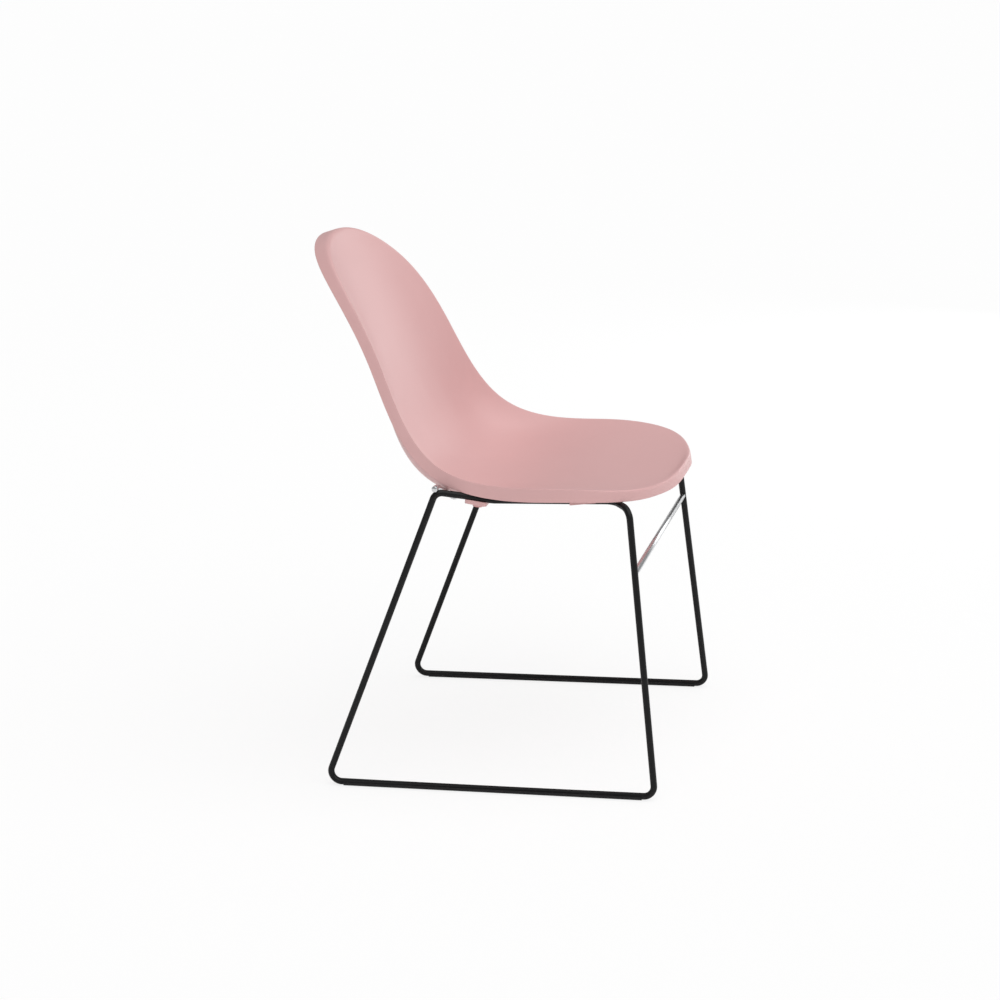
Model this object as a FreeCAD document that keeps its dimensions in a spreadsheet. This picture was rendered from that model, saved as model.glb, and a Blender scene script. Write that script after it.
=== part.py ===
"""Moulded plastic shell chair on a bent rod sled base.

A one-piece plastic shell, seat and back in one, stands on two closed loops of steel
rod. Each loop is a runner on the floor, two legs and a rail under the seat. A bright
bar joins the front legs and another crosses under the rear of the seat. The rails lie
in channels moulded under the seat, and a screwed clamp holds each rail at the rear.

Millimetres. Z is up, the sitter faces -Y, X is across the seat, the floor is at Z 0.
"""
import FreeCAD, Part
import math
import os
import Sketcher

Vector = FreeCAD.Vector

os.makedirs("parts", exist_ok=True)
doc = FreeCAD.newDocument("shell_chair")
sheet = doc.addObject("Spreadsheet::Sheet", "Sizes")

# The rim of the shell runs through eleven stations, from the middle of the front edge
# round one side to the middle of the top edge. Columns: half width, distance behind the
# middle of the chair, height above the seat, depth of the dish below the rim, how flat
# the bottom of the dish is, depth of the turned-down flange, how far the flange leans
# out for each millimetre of its depth, and how wide the rim rolls over.
STATION_COLUMNS = ("half", "behind", "above", "dish", "flat", "flange", "lean", "roll")
STATIONS = (
    ("front", 0, -280, -5, 0, 2.2, 19, -0.15, 12),
    ("front_turn", 96, -274, -16, 2, 2.2, 19, -0.10, 11),
    ("front_side", 193, -235, -7, 12, 2.5, 17, 0.05, 5),
    ("seat_side", 215, -134, 4, 20, 3.0, 21, 0.15, 2.5),
    ("seat_middle", 210, -41, 0, 30, 4.0, 21.5, 0.15, 2.5),
    ("hip", 212, 62, 21, 62, 7.0, 19, 0.12, 2.5),
    ("waist", 199, 115, 107, 46, 3.6, 17, 0.10, 2.5),
    ("back_middle", 181, 145, 196, 38, 2.5, 17, 0.10, 2.5),
    ("shoulder", 163, 192, 282, 26, 2.2, 18, 0.15, 4),
    ("crown", 99, 245, 344, 6, 2.2, 24, 0.30, 12),
    ("top", 0, 257, 361, 0, 2.2, 30, 0.45, 15),
)

SIZES = (
    # Shell
    ("seat_height", 470),
    ("shell_wall", 4.5),
    ("flange_wall", 4.0),
    # Sled loops
    ("rod_diameter", 10),
    ("runner_half", 240),
    ("runner_front", -258.3),
    ("runner_rear", 255.9),
    ("floor_bend", 16),
    ("leg_top_half", 201.5),
    ("leg_top_behind", -228.4),
    ("leg_top_below", 31),
    ("leg_top_bend", 19),
    ("rail_front_half", 170),
    ("rail_front_behind", -200),
    ("rail_front_below", 27),
    ("rail_front_bend", 18),
    ("rail_side_half", 201),
    ("rail_side_behind", -120),
    ("rail_side_bend", 150),
    ("rail_below", 19),
    ("rail_clamp_half", 204),
    ("rail_clamp_behind", -24),
    ("rail_clamp_bend", 60),
    ("rail_rise_half", 206.5),
    ("rail_rise_behind", 12),
    ("rail_rise_below", 13),
    ("rail_rise_bend", 25),
    ("rear_top_half", 230.5),
    ("rear_top_behind", 54.5),
    ("rear_top_below", 0.3),
    ("rear_top_bend", 12.5),
    # Cross bars
    ("stretcher_diameter", 9.2),
    ("stretcher_height", 344.5),
    ("crossbar_diameter", 9),
    ("crossbar_overhang", 5.5),
    ("crossbar_lap", 14),
    ("crossbar_above_bend", 5.3),
    ("crossbar_flat_half", 130),
    ("crossbar_shoulder_bend", 25),
    ("crossbar_flat_bend", 60),
    ("crossbar_gap", 3),
    # Rail seats moulded under the shell
    ("rod_clearance", 0.3),
    ("channel_roof", 1.5),
    ("channel_cheek", 3),
    ("channel_grip", 3),
    ("front_channel_behind", -158),
    ("front_channel_length", 36),
    # Rear clamps
    ("clamp_behind", 0),
    ("clamp_length", 33),
    ("clamp_outer_lip", 6),
    ("clamp_width", 35),
    ("clamp_thickness", 6),
    ("clamp_below_rod", 3.9),
    ("clamp_corner", 4),
    ("turret_diameter", 22),
    ("turret_depth", 3.5),
    ("boss_diameter", 15),
    ("boss_depth", 3.3),
    ("turret_from_rod", 13.5),
    # Clamp screws
    ("screw_diameter", 4.2),
    ("screw_length", 18),
    ("screw_head_diameter", 8),
    ("screw_head_height", 3),
    ("screw_drive_width", 1.2),
    ("screw_drive_length", 5),
    ("screw_drive_depth", 1.6),
    ("screw_clearance", 0.3),
    ("counterbore_depth", 5),
    # Glide strips under the runners
    ("glide_wall", 1.2),
    ("glide_under", 1),
    ("glide_wrap", 1),
    ("glide_front_gap", 20),
    ("glide_rear_gap", 28),
)


def fill_sheet():
    """Write every driving size to the sheet, each under its own name."""
    rows = list(SIZES)
    for station in STATIONS:
        for column, number in zip(STATION_COLUMNS, station[1:]):
            rows.append((station[0] + "_" + column, number))
    for row, (name, number) in enumerate(rows, start=1):
        sheet.set("A%d" % row, name)
        sheet.set("B%d" % row, str(number))
        sheet.setAlias("B%d" % row, name)
    doc.recompute()


def size(name):
    """A size from the sheet, by name."""
    return float(sheet.get(name))


fill_sheet()
ROD_RADIUS = size("rod_diameter") / 2
SEAT = size("seat_height")


# The shell's surface
#
# Every point of the shell is reached by an angle along the rim (0 at the middle of the
# front edge, pi at the middle of the top edge) and a share of the way out to the rim.

LAST = len(STATIONS) - 1
AROUND = 64
INNER_RINGS = (0.14, 0.34, 0.56, 0.78)
EDGE_RINGS = (44, 28, 15)


def along_rim(column, angle, odd=False):
    """A station column as a smooth curve of the angle, mirrored past both ends."""
    place = min(max(angle, 0.0), math.pi) / math.pi * LAST
    first = min(int(place), LAST - 1)
    part = place - first
    weights = (
        (1 - part) ** 3 / 6,
        (3 * part ** 3 - 6 * part ** 2 + 4) / 6,
        (-3 * part ** 3 + 3 * part ** 2 + 3 * part + 1) / 6,
        part ** 3 / 6,
    )
    total = 0.0
    for offset, weight in enumerate(weights):
        index = first - 1 + offset
        mirrored = index < 0 or index > LAST
        if index > LAST:
            index = 2 * LAST - index
        value = size(STATIONS[abs(index)][0] + "_" + column)
        total += weight * (-value if odd and mirrored else value)
    return total


RIM_SAMPLES = {}


def rim(angle):
    """Point of the rim at an angle, on the left side of the chair."""
    key = round(angle, 6)
    if key not in RIM_SAMPLES:
        RIM_SAMPLES[key] = Vector(
            along_rim("half", angle, odd=True),
            along_rim("behind", angle),
            SEAT + along_rim("above", angle),
        )
    return RIM_SAMPLES[key]


def below_rim(angle):
    """Direction square to the side view of the rim, down under the seat, back behind."""
    step = 0.02
    end = 0.25
    middle = min(max(angle, end), math.pi - end)
    run = rim(middle + step) - rim(middle - step)
    run.x = 0
    run.normalize()
    return Vector(0, run.z, -run.y)


def skin_point(share, turn):
    """Point of the sitter's side of the shell, before its rim is rolled over."""
    across = share * math.sin(turn)
    upward = min(max(-share * math.cos(turn), -0.999999), 0.999999)
    angle = math.acos(-upward)
    reach = math.sin(angle)
    out = min(abs(across) / reach, 1.0)
    depth = along_rim("dish", angle) * (1 - out ** along_rim("flat", angle))
    point = rim(angle) + below_rim(angle) * depth
    point.x = across / reach * rim(angle).x
    return point


def unit(vector):
    return Vector(vector).normalize()


def square_to(vector, axis):
    """The unit vector nearest to a vector that is square to an axis."""
    return unit(vector - axis * vector.dot(axis))


def share_at(turn, crest, distance):
    """Share of the way out where the skin is a real distance from its crest."""
    low, high = 0.2, 1.0
    for _ in range(24):
        middle = (low + high) / 2
        if (skin_point(middle, turn) - crest).Length > distance:
            low = middle
        else:
            high = middle
    return low


def outer_rings():
    """Rings of the sitter's side, from the middle out over the rim and down the flange.

    Also returns the directions along, out of and down the flange at each turn.
    """
    turns = [2 * math.pi * index / AROUND for index in range(AROUND)]
    angles = [min(turn, 2 * math.pi - turn) for turn in turns]
    crests = []
    for turn, angle in zip(turns, angles):
        point = Vector(rim(angle))
        if turn > math.pi:
            point.x = -point.x
        crests.append(point)
    columns = []
    frames = []
    for index, (turn, angle, crest) in enumerate(zip(turns, angles, crests)):
        along = unit(crests[(index + 1) % AROUND] - crests[index - 1])
        out = square_to(crest - skin_point(0.96, turn), along)
        down = square_to(below_rim(angle) + out * along_rim("lean", angle), along)
        roll = along_rim("roll", angle)
        drop = along_rim("flange", angle)
        edges = [share_at(turn, crest, roll + distance) for distance in EDGE_RINGS]
        shares = [part * edges[0] for part in INNER_RINGS] + edges
        column = [skin_point(0.0, turn)]
        column += [skin_point(share, turn) for share in shares]
        column.append(crest - out * roll)
        column.append(crest)
        column.append(crest + down * min(roll, 0.6 * drop))
        column.append(crest + down * drop)
        columns.append(column)
        frames.append((along, out, down, roll))
    rings = [[column[ring] for column in columns] for ring in range(len(columns[0]))]
    return rings, frames


def ring_normals(rings):
    """Upward normals of the rings, from each point's four neighbours."""
    quarter = AROUND // 4
    across = rings[1][quarter] - rings[1][-quarter]
    lengthwise = rings[1][2 * quarter] - rings[1][0]
    normals = [[unit(across.cross(lengthwise))] * AROUND]
    last = len(rings) - 1
    for ring in range(1, last + 1):
        row = []
        for index in range(AROUND):
            around = rings[ring][(index + 1) % AROUND] - rings[ring][index - 1]
            outward = rings[min(ring + 1, last)][index] - rings[ring - 1][index]
            row.append(unit(outward.cross(around)))
        normals.append(row)
    return normals


def inner_rings(rings, frames, depth, flange_depth):
    """Rings a depth under the skin, with the same corner turned inside the flange."""
    normals = ring_normals(rings)
    skin_count = len(rings) - 4
    inside = []
    for ring in range(skin_count):
        pairs = zip(rings[ring], normals[ring])
        inside.append([point - normal * depth for point, normal in pairs])
    corner = [[], [], [], []]
    for index, (along, out, down, roll) in enumerate(frames):
        upward = out.cross(along)
        inward = square_to(out * -1, down)
        turn_down = (-depth - flange_depth * inward.dot(upward)) / down.dot(upward)
        crest = rings[-3][index] + inward * flange_depth + down * turn_down
        radius = max(roll - depth, 1.5)
        corner[0].append(crest - out * radius)
        corner[1].append(crest)
        corner[2].append(crest + down * radius)
        corner[3].append(rings[-1][index] + inward * flange_depth)
    return inside + corner


def poles_through(points):
    """Control points of a closed curve that passes close to the given points."""
    count = len(points)
    poles = []
    for index in range(count):
        bend = points[index - 1] - points[index] * 2 + points[(index + 1) % count]
        poles.append(points[index] - bend / 6)
    return poles


def ring_faces(rings):
    """Smooth faces over closed rings, one to a quarter: cubic all round."""
    degree = min(3, len(rings) - 1)
    poles = [poles_through(ring) for ring in rings]
    columns = [[ring[index] for ring in poles] for index in range(AROUND)]
    spans = len(rings) - degree
    surface = Part.BSplineSurface()
    surface.buildFromPolesMultsKnots(
        columns,
        [1] * (AROUND + 1),
        [degree + 1] + [1] * (spans - 1) + [degree + 1],
        list(range(AROUND + 1)),
        list(range(spans + 1)),
        True,
        False,
        3,
        degree,
    )
    faces = []
    quarter = AROUND // 4
    for number in range(4):
        part = surface.copy()
        part.segment(number * quarter, (number + 1) * quarter, 0, spans)
        faces.append(part.toShape())
    return faces


def solid_from(faces):
    """One solid closed by the given faces."""
    shell = Part.makeShell(faces)
    shell.sewShape()
    solid = Part.makeSolid(shell)
    if solid.Volume < 0:
        solid.reverse()
    return solid


def make_skin():
    """The shell as one solid, and faces through the middle of its wall."""
    rings, frames = outer_rings()
    wall = size("shell_wall")
    flange = size("flange_wall")
    under = inner_rings(rings, frames, wall, flange)
    faces = ring_faces(rings) + ring_faces([rings[-1], under[-1]]) + ring_faces(under)
    middle = ring_faces(inner_rings(rings, frames, wall / 2, flange / 2))
    return solid_from(faces), Part.Compound(middle)


# Building blocks


def add(kind, name, **bound):
    """An object of the document, with its sizes bound to the sheet."""
    piece = doc.addObject(kind, name)
    piece.Label = name
    for prop, expression in bound.items():
        piece.setExpression(prop, expression)
    return piece


def add_shape(name, shape):
    """An object whose shape is made here from the sheet's sizes."""
    piece = doc.addObject("Part::Feature", name)
    piece.Shape = shape
    return piece


def rounded_path(corners, bends):
    """Wire of straight runs joined by arcs that touch both runs at each corner."""
    turns = [(corners[0], None, corners[0])]
    for index in range(1, len(corners) - 1):
        corner = corners[index]
        before = unit(corners[index - 1] - corner)
        after = unit(corners[index + 1] - corner)
        half = before.getAngle(after) / 2
        reach = bends[index] / math.tan(half)
        inward = unit(before + after)
        middle = corner + inward * (bends[index] / math.sin(half) - bends[index])
        turns.append((corner + before * reach, middle, corner + after * reach))
    turns.append((corners[-1], None, corners[-1]))
    edges = []
    for (start, middle, end), following in zip(turns, turns[1:]):
        if middle is not None:
            edges.append(Part.Arc(start, middle, end).toShape())
        edges.append(Part.makeLine(end, following[0]))
    return Part.Wire(edges)


def placed_on(edge):
    """Placement at the start of a straight edge, with its Z along the edge."""
    start = edge.valueAt(edge.FirstParameter)
    run = edge.tangentAt(edge.FirstParameter)
    return FreeCAD.Placement(start, FreeCAD.Rotation(Vector(0, 0, 1), run))


def swept(name, line, radius):
    """A round bar swept along the whole of a path that starts with a straight run."""
    ring = add("Part::Circle", name + "_section", Radius=radius)
    ring.Placement = placed_on(line.Shape.Edges[0])
    bar = add("Part::Sweep", name)
    bar.Sections = [ring]
    bar.Spine = (line, ["Edge%d" % (index + 1) for index in range(len(line.Shape.Edges))])
    bar.Solid = True
    bar.Frenet = False
    return bar


def fused(name, pieces):
    """One solid from touching or overlapping pieces."""
    joined = add("Part::MultiFuse", name)
    joined.Shapes = pieces
    return joined


def cut(name, base, tool):
    """A piece less the room that another takes."""
    left = add("Part::Cut", name)
    left.Base = base
    left.Tool = tool
    return left


def mirrored(name, source):
    """The same piece on the other side of the chair."""
    twin = add("Part::Mirroring", name)
    twin.Source = source
    twin.Normal = Vector(1, 0, 0)
    return twin


def body_sketch(body, name, height=None):
    """A sketch level with the body's XY plane, raised by an expression if one is given."""
    sketch = body.newObject("Sketcher::SketchObject", name)
    planes = body.Origin.OriginFeatures
    sketch.AttachmentSupport = [(next(p for p in planes if p.Role == "XY_Plane"), "")]
    sketch.MapMode = "FlatFace"
    if height:
        sketch.setExpression("AttachmentOffset.Base.z", height)
    return sketch


def draw_rectangle(sketch, left, right, bottom, top):
    """A closed rectangle, each side tied to the sheet by an expression."""
    corners = [Vector(-9, -9), Vector(9, -9), Vector(9, 9), Vector(-9, 9)]
    for index, corner in enumerate(corners):
        sketch.addGeometry(Part.LineSegment(corner, corners[(index + 1) % 4]), False)
    for index in range(4):
        sketch.addConstraint(
            Sketcher.Constraint("Coincident", index, 2, (index + 1) % 4, 1)
        )
    for index, way in enumerate(("Horizontal", "Vertical", "Horizontal", "Vertical")):
        sketch.addConstraint(Sketcher.Constraint(way, index))
    sides = (
        ("DistanceX", 0, 1, "left", left, -9),
        ("DistanceX", 0, 2, "right", right, 9),
        ("DistanceY", 0, 1, "bottom", bottom, -9),
        ("DistanceY", 2, 1, "top", top, 9),
    )
    for kind, line, end, name, expression, start in sides:
        number = sketch.addConstraint(Sketcher.Constraint(kind, -1, 1, line, end, start))
        sketch.renameConstraint(number, name)
        sketch.setExpression("Constraints." + name, expression)


def draw_circle(sketch, radius):
    """A circle about the body's own axis."""
    sketch.addGeometry(Part.Circle(Vector(), Vector(0, 0, 1), 3), False)
    sketch.addConstraint(Sketcher.Constraint("Coincident", 0, 3, -1, 1))
    number = sketch.addConstraint(Sketcher.Constraint("Radius", 0, 3))
    sketch.renameConstraint(number, "radius")
    sketch.setExpression("Constraints.radius", radius)


def body_feature(body, kind, name, sketch, length, back=False):
    """A pad or a pocket of a sketch, its length bound to the sheet."""
    feature = body.newObject(kind, name)
    feature.Profile = sketch
    feature.Reversed = back
    feature.setExpression("Length", length)
    body.Tip = feature
    return feature


def upright_edges(shape):
    """Names of a shape's straight upright edges."""
    names = []
    for index, edge in enumerate(shape.Edges, start=1):
        straight = edge.Curve.TypeId == "Part::GeomLine"
        if straight and abs(edge.tangentAt(edge.FirstParameter).z) > 0.999:
            names.append("Edge%d" % index)
    return names


# Sled loops
#
# The left loop is described; the right one is its mirror image. Its corners are where
# the straight runs would meet, and each is bent to its own radius.

FLOOR_LEVEL = size("glide_under") + ROD_RADIUS


def under_seat(name, below):
    """A corner of the loop given by its distance below the seat's height."""
    return Vector(size(name + "_half"), size(name + "_behind"), SEAT - size(below))


REAR_TOP = under_seat("rear_top", "rear_top_below")
RAIL_RISE = under_seat("rail_rise", "rail_rise_below")
RAIL_CLAMP = under_seat("rail_clamp", "rail_below")
RAIL_SIDE = under_seat("rail_side", "rail_below")
RAIL_FRONT = under_seat("rail_front", "rail_front_below")
LEG_TOP = under_seat("leg_top", "leg_top_below")
FRONT_FOOT = Vector(size("runner_half"), size("runner_front"), FLOOR_LEVEL)
REAR_FOOT = Vector(size("runner_half"), size("runner_rear"), FLOOR_LEVEL)


def half_loop(name, corners, bends):
    """Centre line of half a loop, from its first to its last corner."""
    radii = [0] + [size(bend) for bend in bends] + [0]
    return add_shape(name, rounded_path(corners, radii))


RUNNER_MIDDLE = (FRONT_FOOT + REAR_FOOT) / 2
RAIL_MIDDLE = (RAIL_CLAMP + RAIL_SIDE) / 2
rear_line = half_loop(
    "rear_half_line",
    [RUNNER_MIDDLE, REAR_FOOT, REAR_TOP, RAIL_RISE, RAIL_CLAMP, RAIL_MIDDLE],
    ["floor_bend", "rear_top_bend", "rail_rise_bend", "rail_clamp_bend"],
)
front_line = half_loop(
    "front_half_line",
    [RAIL_MIDDLE, RAIL_SIDE, RAIL_FRONT, LEG_TOP, FRONT_FOOT, RUNNER_MIDDLE],
    ["rail_side_bend", "rail_front_bend", "leg_top_bend", "floor_bend"],
)


def make_loop(name, radius):
    """A closed loop of round bar, swept in two halves that meet end to end."""
    rear = swept(name + "_rear_half", rear_line, radius)
    front = swept(name + "_front_half", front_line, radius)
    return fused(name, [rear, front])


left_loop = make_loop("left_sled_loop", "Sizes.rod_diameter / 2")
right_loop = mirrored("right_sled_loop", left_loop)
left_room = make_loop("left_rod_room", "Sizes.rod_diameter / 2 + Sizes.rod_clearance")
right_room = mirrored("right_rod_room", left_room)
both_loops = fused("both_loops", [left_loop, right_loop])


# Shell with its rail seats

skin_solid, wall_middle = make_skin()
skin = add_shape("skin", skin_solid)


def middle_height(across, behind):
    """Height of the middle of the seat's wall over a point of the floor."""
    reach = size("hip_dish") + size("seat_side_flange") + size("shell_wall")
    foot = Vector(across, behind, SEAT - reach)
    head = Vector(across, behind, SEAT + reach)
    meetings = Part.makeLine(foot, head).distToShape(wall_middle)[1]
    return meetings[0][1].z


def block_to_skin(name, inner, outer, front, rear, level, slope=0, slant=0):
    """Block under the seat that ends in the middle of the wall.

    The level of its underside and its place across the seat are given halfway along.
    Towards the rear the underside rises by the slope and the sides move out by the slant.
    """
    steps = 3
    middle = (front + rear) / 2
    grid = []
    for i in range(steps + 1):
        row = []
        for j in range(steps + 1):
            behind = front + (rear - front) * j / steps
            across = inner + (outer - inner) * i / steps + slant * (behind - middle)
            row.append(Vector(across, behind, middle_height(across, behind)))
        grid.append(row)
    surface = Part.BSplineSurface()
    surface.interpolate(grid)
    deep = size("hip_dish") + size("shell_wall")
    column = surface.toShape().extrude(Vector(0, 0, -deep))
    span = 4 * deep
    below = Part.makeBox(span, span, span, Vector(-span / 2, -span / 2, -span))
    below.Placement = FreeCAD.Placement(
        Vector((inner + outer) / 2, middle, level),
        FreeCAD.Rotation(Vector(1, 0, 0), math.degrees(math.atan(slope))),
    ).multiply(below.Placement)
    return add_shape(name, column.cut(below))


def rail_point(start, end, behind):
    """Point of a straight stretch of the rail at a distance behind the middle."""
    return start + (end - start) * ((behind - start.y) / (end.y - start.y))


# The clamp's plate lies against the underside of its block, along the sloping rail.
CLAMP_ROD = rail_point(RAIL_CLAMP, RAIL_RISE, size("clamp_behind"))
CLAMP_SLOPE = (RAIL_RISE.z - RAIL_CLAMP.z) / (RAIL_RISE.y - RAIL_CLAMP.y)
CLAMP_LEVEL = CLAMP_ROD.z - size("clamp_below_rod")
CLAMP_OUTER = CLAMP_ROD.x + size("clamp_outer_lip")
CLAMP_TILT = math.atan(CLAMP_SLOPE)
CLAMP_REACH = size("clamp_length") / 2 * math.cos(CLAMP_TILT)
clamp_block = block_to_skin(
    "clamp_block",
    CLAMP_OUTER - size("clamp_width"),
    CLAMP_ROD.x + size("channel_roof"),
    size("clamp_behind") - CLAMP_REACH,
    size("clamp_behind") + CLAMP_REACH,
    CLAMP_LEVEL,
    slope=CLAMP_SLOPE,
)

CHANNEL_ROD = rail_point(RAIL_SIDE, RAIL_FRONT, size("front_channel_behind"))
CHANNEL_REACH = ROD_RADIUS + size("channel_cheek")
channel_block = block_to_skin(
    "channel_block",
    CHANNEL_ROD.x - CHANNEL_REACH,
    CHANNEL_ROD.x + CHANNEL_REACH,
    size("front_channel_behind") - size("front_channel_length") / 2,
    size("front_channel_behind") + size("front_channel_length") / 2,
    CHANNEL_ROD.z - size("channel_grip"),
    slant=(RAIL_SIDE.x - RAIL_FRONT.x) / (RAIL_SIDE.y - RAIL_FRONT.y),
)

# The clamp and its screw share a frame: its origin is on the plate's upper face, its Z
# points up along the screw, and its X points out to the rod.
CLAMP_FRAME = FreeCAD.Placement(
    Vector(CLAMP_ROD.x - size("turret_from_rod"), size("clamp_behind"), CLAMP_LEVEL),
    FreeCAD.Rotation(Vector(1, 0, 0), math.degrees(CLAMP_TILT)),
)
CLAMP_DEPTH = size("clamp_thickness") + size("turret_depth") + size("boss_depth")
SEAT_FLOOR = size("counterbore_depth") - CLAMP_DEPTH


def on_clamp(piece, height=0.0, across=0.0, along=0.0):
    """Place a piece in the clamp's frame."""
    piece.Placement = CLAMP_FRAME.multiply(
        FreeCAD.Placement(Vector(across, along, height), FreeCAD.Rotation())
    )
    return piece


pilot_hole = on_clamp(
    add(
        "Part::Cylinder",
        "pilot_hole",
        Radius="Sizes.screw_diameter / 2",
        Height="Sizes.screw_length",
    ),
    height=SEAT_FLOOR,
)


# Rear crossbar
#
# Its ends lie on top of the loops' rear bends. Between them it dips under the bucket of
# the seat and stays a set gap clear of the moulding.

CROSSBAR_RADIUS = size("crossbar_diameter") / 2


def skin_clearance_level():
    """Highest level of the bar's flat run that leaves the gap under the seat."""
    samples = 6
    heights = []
    for index in range(samples + 1):
        across = size("crossbar_flat_half") * index / samples
        heights.append(middle_height(across, size("rear_top_behind")))
    wall = size("shell_wall") / 2
    return min(heights) - wall - size("crossbar_gap") - CROSSBAR_RADIUS


def crossbar_path():
    """Centre line of the bar from its left end to its right end."""
    behind = size("rear_top_behind")
    lap = REAR_TOP.z + size("crossbar_above_bend")
    end = REAR_TOP.x + size("crossbar_overhang")
    flat = skin_clearance_level()
    corners = [
        Vector(end, behind, lap),
        Vector(end - size("crossbar_lap"), behind, lap),
        Vector(size("crossbar_flat_half"), behind, flat),
    ]
    corners += [Vector(-corner.x, corner.y, corner.z) for corner in reversed(corners)]
    bends = [size("crossbar_shoulder_bend"), size("crossbar_flat_bend")]
    return rounded_path(corners, [0] + bends + bends[::-1] + [0])


crossbar_line = add_shape("crossbar_line", crossbar_path())
crossbar_bar = swept("crossbar_bar", crossbar_line, "Sizes.crossbar_diameter / 2")
crossbar_room = swept(
    "crossbar_room", crossbar_line, "Sizes.crossbar_diameter / 2 + Sizes.rod_clearance"
)
rear_crossbar = cut("rear_crossbar", crossbar_bar, both_loops)


# Front stretcher

def leg_point(height):
    """Point of the left front leg's centre line at a height."""
    share = (height - FRONT_FOOT.z) / (LEG_TOP.z - FRONT_FOOT.z)
    return FRONT_FOOT + (LEG_TOP - FRONT_FOOT) * share


STRETCHER_END = leg_point(size("stretcher_height"))
stretcher_bar = add(
    "Part::Cylinder", "stretcher_bar", Radius="Sizes.stretcher_diameter / 2"
)
stretcher_bar.Height = 2 * STRETCHER_END.x
stretcher_bar.Placement = FreeCAD.Placement(
    Vector(-STRETCHER_END.x, STRETCHER_END.y, STRETCHER_END.z),
    FreeCAD.Rotation(Vector(0, 1, 0), 90),
)
front_stretcher = cut("front_stretcher", stretcher_bar, both_loops)


# Shell, joined and cut

plain_shell = fused(
    "plain_shell",
    [
        skin,
        clamp_block,
        channel_block,
        mirrored("right_clamp_block", clamp_block),
        mirrored("right_channel_block", channel_block),
    ],
)
shell_room = fused(
    "shell_room",
    [
        left_room,
        right_room,
        crossbar_room,
        pilot_hole,
        mirrored("right_pilot_hole", pilot_hole),
    ],
)
seat_shell = cut("seat_shell", plain_shell, shell_room)


# Rear clamps and their screws

def make_clamp():
    """Plate with a stepped boss for the screw, before the rod's groove is cut."""
    body = add("PartDesign::Body", "clamp_body")
    outline = body_sketch(body, "clamp_outline")
    draw_rectangle(
        outline,
        "Sizes.turret_from_rod + Sizes.clamp_outer_lip - Sizes.clamp_width",
        "Sizes.turret_from_rod + Sizes.clamp_outer_lip",
        "-Sizes.clamp_length / 2",
        "Sizes.clamp_length / 2",
    )
    plate = body_feature(
        body, "PartDesign::Pad", "clamp_plate", outline, "Sizes.clamp_thickness", True
    )
    doc.recompute()
    corners = body.newObject("PartDesign::Fillet", "clamp_corners")
    corners.Base = (plate, upright_edges(plate.Shape))
    corners.setExpression("Radius", "Sizes.clamp_corner")
    body.Tip = corners
    turret_depth = "Sizes.clamp_thickness + Sizes.turret_depth"
    depth = turret_depth + " + Sizes.boss_depth"
    for name, deep in (("turret", turret_depth), ("boss", depth)):
        step = body_sketch(body, name + "_outline")
        draw_circle(step, "Sizes." + name + "_diameter / 2")
        body_feature(body, "PartDesign::Pad", name, step, deep, True)
    bore = body_sketch(body, "counterbore_outline", "-(" + depth + ")")
    draw_circle(bore, "Sizes.screw_head_diameter / 2 + 2 * Sizes.screw_clearance")
    body_feature(
        body, "PartDesign::Pocket", "counterbore", bore, "Sizes.counterbore_depth", True
    )
    hole = body_sketch(body, "screw_hole_outline")
    draw_circle(hole, "Sizes.screw_diameter / 2 + Sizes.screw_clearance")
    body_feature(body, "PartDesign::Pocket", "screw_hole", hole, depth)
    body.Placement = CLAMP_FRAME
    return body


def make_screw():
    """Pan-head screw with a cross recess, seated in the turret's counterbore."""
    radius = "Sizes.screw_diameter / 2"
    head = add(
        "Part::Cylinder",
        "screw_head",
        Radius="Sizes.screw_head_diameter / 2",
        Height="Sizes.screw_head_height",
    )
    shank = add(
        "Part::Cylinder",
        "screw_shank",
        Radius=radius,
        Height="Sizes.screw_length - Sizes.screw_diameter",
    )
    point = add(
        "Part::Cone", "screw_point", Radius1=radius, Height="Sizes.screw_diameter"
    )
    point.setExpression("Radius2", "Sizes.screw_diameter / 10")
    head_floor = SEAT_FLOOR - size("screw_head_height")
    on_clamp(head, height=head_floor)
    on_clamp(shank, height=SEAT_FLOOR)
    on_clamp(point, height=SEAT_FLOOR + size("screw_length") - size("screw_diameter"))
    slots = []
    shapes = (("slot_across", "length", "width"), ("slot_along", "width", "length"))
    for name, wide, tall in shapes:
        slot = add(
            "Part::Box",
            name,
            Length="Sizes.screw_drive_" + wide,
            Width="Sizes.screw_drive_" + tall,
            Height="Sizes.screw_drive_depth",
        )
        across = -size("screw_drive_" + wide) / 2
        along = -size("screw_drive_" + tall) / 2
        slots.append(on_clamp(slot, head_floor, across, along))
    solid = fused("screw_solid", [head, shank, point])
    return cut("left_clamp_screw", solid, fused("screw_recess", slots))


clamp_room = fused("clamp_room", [left_room, plain_shell])
left_clamp = cut("left_rear_clamp", make_clamp(), clamp_room)
right_clamp = mirrored("right_rear_clamp", left_clamp)
left_screw = make_screw()
right_screw = mirrored("right_clamp_screw", left_screw)


# Glide strips
#
# A thin strip is clipped along the straight underside of each runner. It hugs the rod
# from below to a little above the rod's middle, and is flat where it meets the floor.

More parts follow.
